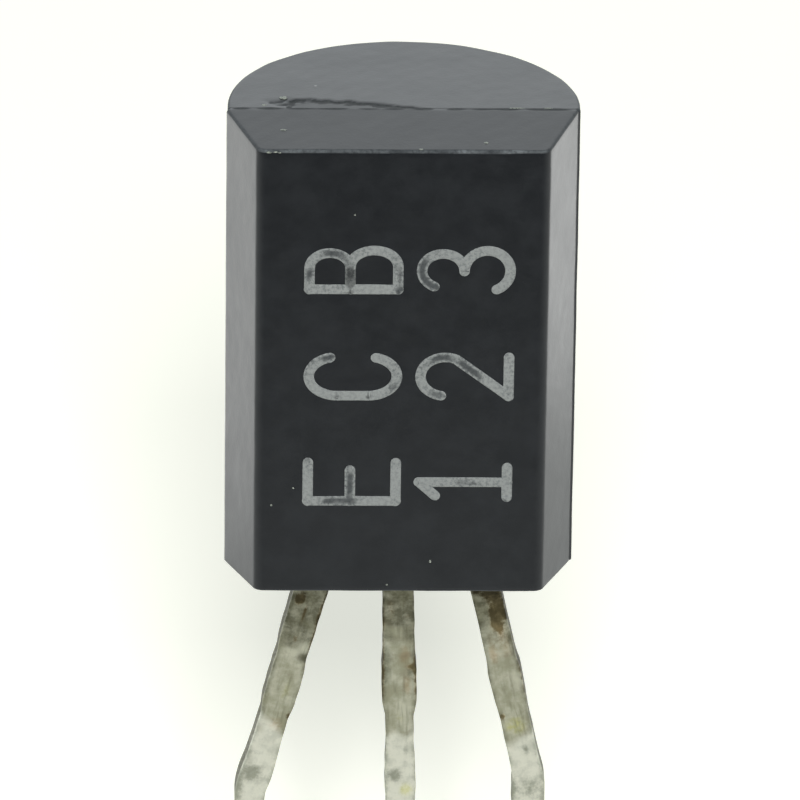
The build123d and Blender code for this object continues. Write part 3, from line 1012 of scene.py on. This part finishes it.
# bends: X and depth of the upper bend, X and depth of the foot
# shift_x: pairs of a depth and how far the lead lies beside its line there
# swell: pairs of a depth and how much its half width has grown there
# film, blush, stain, dull: soft spots, each its depth, its place across, its half length, its
#   half width and its strength
# shade: the depth at which the painted shade under the body ends
# wetted: the depth at which the solder begins, and how much deeper for each mm to the right
LEADS = {
    "emitter_lead": {
        "bends": (-LEAD_PITCH, 0.25, -2.55, 4.4),
        "widths": OUTER_WIDTHS,
        "shift_x": (
            (WEB_SPAN[0], -POST_SHIFT), (WEB_SPAN[1], 0),
            (1.5, 0), (2.1, 0.026), (3.8, 0.026), (4.3, 0),
        ),
        "swell": (
            (0, 0), (0.5, 0.025), (1.5, 0.018), (1.62, 0), (2.0, -0.015), (2.6, -0.025),
            (3.3, -0.02), (3.7, 0.003), (4.08, 0.015), (4.45, -0.021), (6, 0),
        ),
        "film": (
            (0.64, -0.14, 0.12, 0.075, 1.8), (1.0, 0.29, 0.6, 0.045, 1.5),
            (0.9, 0.0, 0.2, 0.03, 0.8), (1.38, -0.02, 0.13, 0.045, 0.8),
            (2.82, 0.24, 0.06, 0.04, 1.0),
        ),
        "blush": ((3.02, 0.06, 0.12, 0.16, 1.0),),
        "stain": ((2.4, 0.06, 0.3, 0.07, 0.45),),
        "dull": (
            (4.0, -0.08, 0.16, 0.22, 1.2), (4.35, -0.2, 0.2, 0.1, 1.0),
            (3.62, -0.1, 0.05, 0.12, 0.7),
        ),
        "shade": 1.55,
        "wetted": (3.05, 0.35),
        "seed": 31,
    },
    "collector_lead": {
        "bends": (0.0, 0.3, 0.09, 4.6),
        "widths": MIDDLE_WIDTHS,
        "shift_x": ((0, 0),),
        "swell": (
            (0, 0), (1.55, 0), (1.65, 0.021), (1.85, 0), (2.4, 0), (2.75, -0.021),
            (3.35, -0.028), (4.1, 0), (4.4, -0.01), (6, 0),
        ),
        "film": (
            (0.85, -0.14, 0.3, 0.1, 0.55), (1.5, -0.29, 1.2, 0.045, 0.9),
            (2.05, 0.29, 0.5, 0.045, 1.0), (1.93, 0.2, 0.07, 0.07, 0.7),
            (0.95, 0.14, 0.06, 0.08, 0.5),
        ),
        "blush": ((1.7, 0.1, 0.25, 0.1, 1.0), (2.25, 0.14, 0.2, 0.08, 1.0)),
        "stain": ((4.32, 0.1, 0.12, 0.12, 1.2), (2.9, 0.0, 0.2, 0.1, 0.4)),
        "dull": (
            (4.03, -0.1, 0.12, 0.13, 1.2), (1.9, -0.2, 0.4, 0.08, 0.9),
            (2.08, 0.18, 0.12, 0.09, 0.9), (3.6, 0.1, 0.3, 0.04, 0.6),
        ),
        "shade": 1.3,
        "wetted": (3.2, 0.05),
        "seed": 41,
    },
    "base_lead": {
        "bends": (LEAD_PITCH, 0.15, 2.32, 4.1),
        "widths": OUTER_WIDTHS,
        "shift_x": ((WEB_SPAN[0], POST_SHIFT), (WEB_SPAN[1], 0)),
        "swell": (
            (0, 0), (0.5, -0.003), (1.1, -0.015), (1.5, -0.008), (1.8, -0.021), (2.1, -0.021),
            (2.65, -0.038), (3.0, -0.015), (3.7, -0.014), (4.42, 0.021), (5, 0),
        ),
        "film": (
            (0.78, 0.13, 0.42, 0.17, 1.1), (1.15, 0.06, 0.2, 0.13, 0.7),
            (0.45, 0.0, 0.12, 0.3, 0.8), (2.85, -0.2, 0.08, 0.06, 0.8),
            (2.2, 0.28, 0.6, 0.04, 0.6),
        ),
        "blush": ((1.42, 0.1, 0.3, 0.14, 1.0), (1.6, -0.12, 0.3, 0.07, 0.9)),
        "stain": ((3.05, -0.02, 0.15, 0.17, 1.3),),
        "dull": (
            (3.55, 0.06, 0.16, 0.05, 1.0), (4.3, 0.0, 0.2, 0.3, 1.0),
            (1.42, 0.02, 0.16, 0.3, 0.8),
        ),
        "shade": 1.25,
        "wetted": (3.25, -0.2),
        "seed": 51,
    },
}
print(len(LEADS), "leads:", *LEADS)

# %% [markdown]
# ## Marks on a lead
# A soft spot is a bell curve over the strip. All marks are worked out on the strip laid flat,
# by each point's place across it, through it and along it, so they follow the bends. The
# stains sit on the front and fade round to the back. A painted shade darkens the strip close
# under the body and along its edges, partly laid as dull grey. Its oxidised sheared sides are darkest
# of all.

# %% Marks
LEAD_SHAPE = ("bends", "widths", "shift_x", "swell", "seed")
SPOT_MARKS = ("film", "blush", "stain", "dull")
STAINED_FRONT = (-0.27, 0.1)
WETTED_EDGE, WETTED_RAGGED = (-0.1, 0.16), 0.09
SHADE_EDGE, SHADE_RAGGED = (-0.16, 0.16), 0.1
# Painted shade: its strength under the body and along the edges, the edges' share laid as dull grey,
# and where the edge shade starts
BODY_SHADE, EDGE_SHADE, EDGE_SHADE_IN_DULL, EDGE_START = 0.75, 0.3, 0.5, 0.62
SHEARED, SHEARED_EDGE = 0.85, (0.22, 0.17)
RAGGED_WAVE = 0.35


def soft_spots(depth, across, spots):
    """Sum of oval spots, each its strength times a bell curve along and a bell curve across."""
    total = np.zeros_like(depth)
    for at_depth, at_across, long, wide, strength in spots:
        along_bell = ((depth - at_depth) / long) ** 2
        total += strength * np.exp(-along_bell - ((across - at_across) / wide) ** 2)
    return total


def lead_marks(strip, uneven, shape):
    """Every mark of a lead, from each point's place on its strip: across, through and along."""
    across, front, depth = strip[..., 0], strip[..., 1], -strip[..., 2]
    outside = depth > 0
    face = smooth_step(*STAINED_FRONT, -front) * outside
    marks = {name: soft_spots(depth, across, shape[name]) * face for name in SPOT_MARKS}
    start, lean = shape["wetted"]
    past_solder = depth - start - lean * across + WETTED_RAGGED * uneven
    marks["wetted"] = smooth_step(*WETTED_EDGE, past_solder)
    # Painted shade: darker along both edges of the strip and close under the body
    to_edge = np.abs(across) / np.abs(across).max(axis=1, keepdims=True)
    near_edge = smooth_step(EDGE_START, 1.0, to_edge)
    near_body = 1 - smooth_step(*SHADE_EDGE, depth - shape["shade"] + SHADE_RAGGED * uneven)
    marks["shade"] = np.maximum(BODY_SHADE * near_body, EDGE_SHADE * near_edge)
    # The dull grey also lays a painted shade along the edges
    marks["dull"] += EDGE_SHADE_IN_DULL * near_edge * outside
    marks["sheared"] = SHEARED * smooth_step(*SHEARED_EDGE, np.abs(front)) * outside
    return marks


def add_lead(name, shape):
    """One lead with its marks, standing for the construction's own."""
    rings, strip = lead_rings(*(shape[key] for key in LEAD_SHAPE))
    marks = lead_marks(strip, ripple(rings, RAGGED_WAVE, shape["seed"] + len(PLATING_RIPPLES)), shape)
    points, faces = tube(rings)
    ends = {key: value[[0, -1]].mean(axis=1) for key, value in marks.items()}
    marks = {key: np.append(value.ravel(), ends[key]) for key, value in marks.items()}
    marks["strip"] = np.vstack((strip.reshape(-1, 3), strip[[0, -1]].mean(axis=1))) * MM
    piece = add_piece("tinned_" + name, points, faces, tin, "tinned_copper", marks)
    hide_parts(name)
    low, high = (np.array(corner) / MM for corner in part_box(name))
    off = (points.min(axis=0) - low).round(3), (points.max(axis=0) - high).round(3)
    print("  off the construction by", *off)


for name, shape in LEADS.items():
    add_lead(name, shape)

# %% [markdown]
# ## The printed pin key
# Parts like this carry light grey print on the flat front, turned a quarter turn. Here it is a
# plain pin key: the letters of emitter, collector and base, and their numbers. Text from a
# font would be quicker, but the print on such parts comes from a stroke font of even line
# width with round ends, so each character is a few paths, drawn in shares of its width and
# height.

# %% Characters
CURVE_POINTS = 25


def curve(centre, radii, start, end):
    """Points on an oval from one angle to another."""
    angle = np.radians(np.linspace(start, end, CURVE_POINTS))
    return np.column_stack((np.cos(angle), np.sin(angle))) * radii + centre


GLYPHS = {
    "E": [[(0, 0), (0, 1)], [(0, 1), (1, 1)], [(0, 0.52), (0.8, 0.52)], [(0, 0), (1, 0)]],
    "C": [
        curve((0.5, 0.68), (0.5, 0.32), 15, 180),
        [(0, 0.68), (0, 0.32)],
        curve((0.5, 0.32), (0.5, 0.32), 180, 345),
    ],
    "B": [
        [(0, 0), (0, 1)],
        np.vstack(([(0, 1)], curve((0.55, 0.77), (0.38, 0.23), 90, -90), [(0, 0.54)])),
        np.vstack(([(0, 0.54)], curve((0.58, 0.27), (0.42, 0.27), 90, -90), [(0, 0)])),
    ],
    "1": [[(0.5, 0), (0.5, 1)], [(0.5, 1), (0.15, 0.82)], [(0.12, 0), (0.88, 0)]],
    "2": [np.vstack((curve((0.5, 0.72), (0.5, 0.28), 170, -25), [(0, 0)])), [(0, 0), (1, 0)]],
    "3": [curve((0.48, 0.76), (0.44, 0.24), 155, -90), curve((0.48, 0.26), (0.52, 0.26), 90, -155)],
}
print(len(GLYPHS), "characters:", *GLYPHS)

# %% [markdown]
# ## Strokes
# Each stroke is a very thin flat bead of ink carried along its path, with a half circle at
# both ends. A picture of the print would need no mesh, but a bead has a real edge that holds
# up close to the camera. Its mark tells the ink how near the middle of the stroke a point is.

# %% Strokes
GLYPH_WIDTH, GLYPH_HEIGHT = 0.72, 1.5
STROKE_WIDTH, STROKE_SPACING, STROKE_AHEAD = 0.19, 0.03, 0.02
FEWEST_STATIONS, END_STATIONS, END_ANGLES = 4, 8, (3, 90)
BEAD_POINTS, BEAD_SIDES, BEAD_TOP = 12, 0.5, 0.3
THINNEST_END = 0.0001
INK_THICKNESS = 0.024
# The ink's top stays this far inside the construction's flat front. The sunk face is deeper.
INK_INSET = 0.0005
KEY_COLUMNS = ((-0.10, "ECB"), (1.80, "123"))
KEY_BOTTOM, KEY_PITCH = 1.85, 1.98


def on_path(path, run, reach):
    """Places at these lengths along a path, none beyond its ends."""
    reach = np.clip(reach, 0, run[-1])
    return np.column_stack([np.interp(reach, run, places) for places in path.T])


def flattened(wave, power):
    """A wave with its arches flattened: its sign times its size to a power below one."""
    return np.sign(wave) * np.abs(wave) ** power


def ink_stroke(path):
    """A thin bead on the front face along a path in glyph shares: its half width is constant
    and shrinks as a half circle at both ends, its height is a flattened arch."""
    path = np.array(path, float) * (GLYPH_WIDTH, GLYPH_HEIGHT)
    run = np.concatenate(([0], np.cumsum(np.linalg.norm(np.diff(path, axis=0), axis=1))))
    radius = STROKE_WIDTH / 2
    end_steps = radius * (1 - np.cos(np.radians(np.linspace(*END_ANGLES, END_STATIONS))))
    middle = np.linspace(0, run[-1], max(int(run[-1] / STROKE_SPACING), FEWEST_STATIONS))
    station = np.unique(np.concatenate((end_steps - radius, middle, run[-1] + radius - end_steps)))
    reach = np.clip(station, 0, run[-1])
    along = on_path(path, run, reach + STROKE_AHEAD) - on_path(path, run, reach - STROKE_AHEAD)
    along /= np.linalg.norm(along, axis=1)[:, None]
    over = (station - reach)[:, None]
    line = on_path(path, run, reach) + over * along
    half = np.sqrt(np.clip(radius**2 - over**2, THINNEST_END**2, None))
    across = np.column_stack((-along[:, 1], along[:, 0]))
    turn = np.radians(np.linspace(0, 360, BEAD_POINTS, endpoint=False))
    spread = flattened(np.cos(turn), BEAD_SIDES)
    lift = flattened(np.sin(turn), BEAD_TOP) * INK_THICKNESS / 2
    flat = line[:, None] + (half * spread)[..., None] * across[:, None]
    shape = flat.shape[:2]
    return flat, np.broadcast_to(lift, shape), np.broadcast_to(1 - np.abs(spread), shape)


def pin_key():
    """Every stroke of both columns, turned a quarter turn: glyphs run up and their tops point
    left. The mark is 0 at a stroke's sides and 1 along its middle."""
    shells, middles = [], []
    for right_edge, text in KEY_COLUMNS:
        for place, glyph in enumerate(text):
            for path in GLYPHS[glyph]:
                flat, lift, middle = ink_stroke(path)
                x = right_edge - flat[..., 1]
                z = KEY_BOTTOM + place * KEY_PITCH + flat[..., 0]
                y = -FRONT_DEPTH + INK_INSET + INK_THICKNESS / 2 - lift
                shells.append(tube(np.stack((x, y, z), axis=-1)))
                middles.append(np.append(middle.ravel(), (0.0, 0.0)))
    return *join_shells(shells), np.concatenate(middles)


key_points, key_faces, middle = pin_key()
print("pin key of", len(key_points), "points, strokes", STROKE_WIDTH, "mm wide")

# %% [markdown]
# ## Ink
# Ink like this wears unevenly. A fine speckle lets the black through everywhere, and a slower
# noise picks the larger places where the stroke has been rubbed hollow.

# %% Ink
INK_FULL, INK_THIN, INK_HOLLOW = "#727574", "#424546", "#26292b"
INK_ROUGHNESS, INK_UNEVEN = 0.6, 0.002
SPECKLE_SIZE, RUBBED_SIZE = 0.06, 0.85


def printed_ink():
    """Pad-printed epoxy ink, cured: pale grey, thin, rubbed through to the black in places,
    mostly along the middle of a stroke, where the pad leaves the least ink."""
    material, tree, shader, place = new_material("pad_printed_ink")
    speckle = add_node(tree, NOISE, grain(place, SPECKLE_SIZE, 4.0, 0.7))["Fac"]
    rubbed = add_node(tree, NOISE, grain(place, RUBBED_SIZE, 2.0))["Fac"]
    middle = add_node(tree, MARK, settings={"attribute_name": "middle"})["Fac"]
    specks = add_node(tree, RANGE, {"Value": speckle, **span(0.42, 0.64)}, SOFT)[0]
    rubbed_some = add_node(tree, RANGE, {"Value": rubbed, **span(0.36, 0.66, 0.35, 1.0)}, SOFT)[0]
    rubbed_most = add_node(tree, RANGE, {"Value": rubbed, **span(0.52, 0.62, 0.0, 0.85)}, SOFT)[0]
    inner = add_node(tree, RANGE, {"Value": middle, **span(0.2, 0.75)}, SOFT)[0]
    thin = add_node(tree, MATH, {0: rubbed_some, 1: specks}, TIMES)[0]
    hollow = add_node(tree, MATH, {0: inner, 1: rubbed_most}, TIMES)[0]
    colour = add_node(tree, MIX, {"Factor": thin, 6: INK_FULL, 7: INK_THIN}, BLEND)[2]
    colour = add_node(tree, MIX, {"Factor": hollow, 6: colour, 7: INK_HOLLOW}, BLEND)[2]
    tree.links.new(colour, shader.inputs["Base Color"])
    shader.inputs["Roughness"].default_value = INK_ROUGHNESS
    bump = {"Height": speckle, "Distance": INK_UNEVEN * MM, "Strength": 1.0}
    tree.links.new(add_node(tree, BUMP, bump)[0], shader.inputs["Normal"])
    return material


ink = printed_ink()
add_piece("printed_pin_key", key_points, key_faces, ink, "moulded_epoxy", {"middle": middle})

# %% [markdown]
# ## Inner pieces
# The chip, its solder and the bond wires are sealed inside the resin and never show, yet they
# travel with the part, so they get true finishes too. Their meshes stay as the construction
# made them.

# %% Inner finishes
GRAIN_SPAN = (0.35, 0.65)


def inner_finish(name, low_colour, high_colour, metal, roughness, grain_size):
    """A plain procedural finish: two close colours in grains of one size."""
    material, tree, shader, place = new_material(name)
    noise = add_node(tree, NOISE, grain(place, grain_size))["Fac"]
    grains = add_node(tree, RANGE, {"Value": noise, **span(*GRAIN_SPAN)}, SOFT)[0]
    colour = add_node(tree, MIX, {"Factor": grains, 6: low_colour, 7: high_colour}, BLEND)[2]
    tree.links.new(colour, shader.inputs["Base Color"])
    shader.inputs["Metallic"].default_value = metal
    shader.inputs["Roughness"].default_value = roughness
    return material


# Silicon, sawn from a wafer and polished: dark blue grey with a clean gloss
silicon = inner_finish(
    "silicon_polished", "#3d4046", "#54585f", metal=0.0, roughness=0.15, grain_size=0.2
)
# Tin solder, melted and set: mid grey metal with a dull, grainy skin
solder = inner_finish("solder_dull", "#8c8f90", "#a9acab", metal=1.0, roughness=0.5, grain_size=0.1)
# Gold, drawn to wire: yellow metal with a soft sheen
gold = inner_finish("gold_wire_drawn", "#d8a24a", "#e3b562", metal=1.0, roughness=0.3, grain_size=0.05)
INNER = {
    "silicon_die": silicon,
    "die_attach": solder,
    "emitter_bond_wire": gold,
    "base_bond_wire": gold,
}
for name, finish in INNER.items():
    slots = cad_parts[name].data.materials
    slots.clear()
    slots.append(finish)
print(len(INNER), "inner pieces finished")

# %% [markdown]
# ## Floor and surroundings
# The part stands on a nearly white matt card in soft, even light. The camera sees the card a
# little lifted by a glow of its own, so it stays pale and still catches the part's shadow. The
# black resin is drawn almost wholly by what it reflects. So reflections get their own view of
# the card, pale behind the part and darker in front, which is simpler to set than a room full
# of cards and screens. From below the card is clear, so the underside can be looked at too.

# %% Floor and world
CARD_MATT, CARD_GLOW, CARD_REFLECTED = "#f6f5ea", "#fffff3", "#fbfffc"
SKY_SEEN, SKY_REFLECTED = "#ffffff", "#eef7fb"
FLOOR_HALF_SIZE = 600.0
FLOOR_GLOW = 0.34
WORLD_LIGHT = 0.36
# Brightness in reflections: start and end along Y in mm, then the value before and after
FLOOR_STEPS = ((-57.0, -22.0, 0.07, 0.95), (18.0, 38.0, 0.0, 0.2))
# The same for the sky, with the start and end as the Y of its direction
SKY_FROM_FRONT = (-0.7, 0.3, 0.85, 1.08)


def along_y(tree, vector, start, end, front, back):
    """A value that goes from front to back between two places along Y."""
    y = add_node(tree, "ShaderNodeSeparateXYZ", {0: vector})["Y"]
    return add_node(tree, RANGE, {"Value": y, **span(start, end, front, back)}, SOFT)[0]


def mirrored_ray(tree):
    """The ray kinds, and 1 for a ray that a glossy or clear surface sends on."""
    ray = add_node(tree, "ShaderNodeLightPath")
    sent_on = {0: ray["Is Glossy Ray"], 1: ray["Is Transmission Ray"]}
    return ray, add_node(tree, MATH, sent_on, LARGER)[0]


def paper():
    """Ivory card, pressed matt. The camera and the lamps meet a real matt sheet, a little lifted
    for the camera. Reflections see it pale behind the part and darker in front."""
    material = bpy.data.materials.new("matt_ivory_card")
    material.use_nodes = True
    tree = material.node_tree
    tree.nodes.clear()
    ray, mirrored = mirrored_ray(tree)
    place = add_node(tree, "ShaderNodeTexCoord")["Object"]
    near, far = (
        along_y(tree, place, start * MM, end * MM, front, back)
        for start, end, front, back in FLOOR_STEPS
    )
    shown = add_node(tree, MATH, {0: near, 1: far}, PLUS)[0]
    glow = add_node(tree, MATH, {0: ray["Is Camera Ray"], 1: FLOOR_GLOW}, TIMES)[0]
    matt = add_node(tree, "ShaderNodeBsdfDiffuse", {"Color": CARD_MATT})[0]
    lifted = add_node(tree, "ShaderNodeEmission", {"Color": CARD_GLOW, "Strength": glow})[0]
    seen = add_node(tree, "ShaderNodeAddShader", {0: matt, 1: lifted})[0]
    image = add_node(tree, "ShaderNodeEmission", {"Color": CARD_REFLECTED, "Strength": shown})[0]
    front = add_node(tree, "ShaderNodeMixShader", {"Fac": mirrored, 1: seen, 2: image})[0]
    below = add_node(tree, "ShaderNodeNewGeometry")["Backfacing"]
    clear = add_node(tree, "ShaderNodeBsdfTransparent")[0]
    surface = add_node(tree, "ShaderNodeMixShader", {"Fac": below, 1: front, 2: clear})[0]
    add_node(tree, "ShaderNodeOutputMaterial", {"Surface": surface})
    return material


def add_floor():
    """A large sheet at the lead tips."""
    side = FLOOR_HALF_SIZE
    corners = np.array(((-side, -side), (side, -side), (side, side), (-side, side)))
    points = np.column_stack((corners, np.full(4, -LEAD_LENGTH))) * MM
    mesh = bpy.data.meshes.new("floor")
    mesh.from_pydata(points.tolist(), [], [(0, 1, 2, 3)])
    mesh.materials.append(paper())
    floor = bpy.data.objects.new("floor", mesh)
    bpy.context.scene.collection.objects.link(floor)


def light_world():
    """White to the eye. In reflections it is cooler, and brighter behind the part than in front
    of it. Everything else gets a dimmer, even light."""
    world = bpy.data.worlds.new("studio")
    world.use_nodes = True
    tree = world.node_tree
    tree.nodes.clear()
    ray, mirrored = mirrored_ray(tree)
    to_camera = ray["Is Camera Ray"]
    direction = add_node(tree, "ShaderNodeTexCoord")["Generated"]
    from_front = along_y(tree, direction, *SKY_FROM_FRONT)
    shown = add_node(tree, MATH, {0: mirrored, 1: from_front}, TIMES)[0]
    looked_at = add_node(tree, MATH, {0: mirrored, 1: to_camera}, LARGER)[0]
    unseen = add_node(tree, MATH, {0: 1.0, 1: looked_at}, LESS)[0]
    dim = add_node(tree, MATH, {0: unseen, 1: WORLD_LIGHT}, TIMES)[0]
    strength = add_node(tree, MATH, {0: to_camera, 1: shown}, PLUS)[0]
    strength = add_node(tree, MATH, {0: strength, 1: dim}, PLUS)[0]
    tints = {"Factor": to_camera, 6: SKY_REFLECTED, 7: SKY_SEEN}
    colour = add_node(tree, MIX, tints, BLEND)[2]
    sky = add_node(tree, "ShaderNodeBackground", {"Color": colour, "Strength": strength})[0]
    add_node(tree, "ShaderNodeOutputWorld", {"Surface": sky})
    bpy.context.scene.world = world


add_floor()
light_world()
print("floor", 2 * FLOOR_HALF_SIZE, "mm square, at", round(-LEAD_LENGTH, 3), "mm")

# %% [markdown]
# ## Lamps
# The key lamp above the front lights the part, but it is hidden from glossy rays, so it leaves
# no hard glare on the face. The big soft box behind draws the sheen on the top. Two weak strips
# show in gloss only, like the white cards that are stood beside a small dark object. The part
# is small and its lamps stand close, so they need only a part of a watt.

# %% Lamps
LAMPS = {
    "key_above_front": {
        "place": (0, -171, 105), "size": (30, 30), "power": 0.48, "hidden_from": "glossy",
    },
    "soft_box_behind": {"place": (0, 225, 130), "size": (420, 240), "power": 0.17},
    "strip_right": {
        "place": (20.5, 21, -4), "size": (26, 10), "power": 0.0009, "hidden_from": "diffuse",
    },
    "strip_left": {
        "place": (-20.5, 21, -6.5), "size": (26, 11), "power": 0.0007, "hidden_from": "diffuse",
    },
}
LAMP_AIM = (0, 0, 2)


def add_lamp(name, place, size, power, hidden_from=None):
    """A soft box that faces the part. Its size is width and height, its power is in watts. One
    hidden from diffuse rays only shows in gloss, one hidden from glossy rays leaves no glare."""
    data = bpy.data.lights.new(name, "AREA")
    data.shape = "RECTANGLE"
    data.size, data.size_y = (side * MM for side in size)
    data.energy = power
    lamp = bpy.data.objects.new(name, data)
    if hidden_from:
        setattr(lamp, "visible_" + hidden_from, False)
    bpy.context.scene.collection.objects.link(lamp)
    back = np.array(place, float) - LAMP_AIM
    back /= np.linalg.norm(back)
    right = np.cross((0, 0, 1), back)
    right /= np.linalg.norm(right)
    pose = np.eye(4)
    pose[:3] = np.column_stack((right, np.cross(back, right), back, np.array(place) * MM))
    lamp.matrix_world = Matrix(pose.tolist())


for name, lamp in LAMPS.items():
    add_lamp(name, **lamp)
print(len(LAMPS), "lamps")
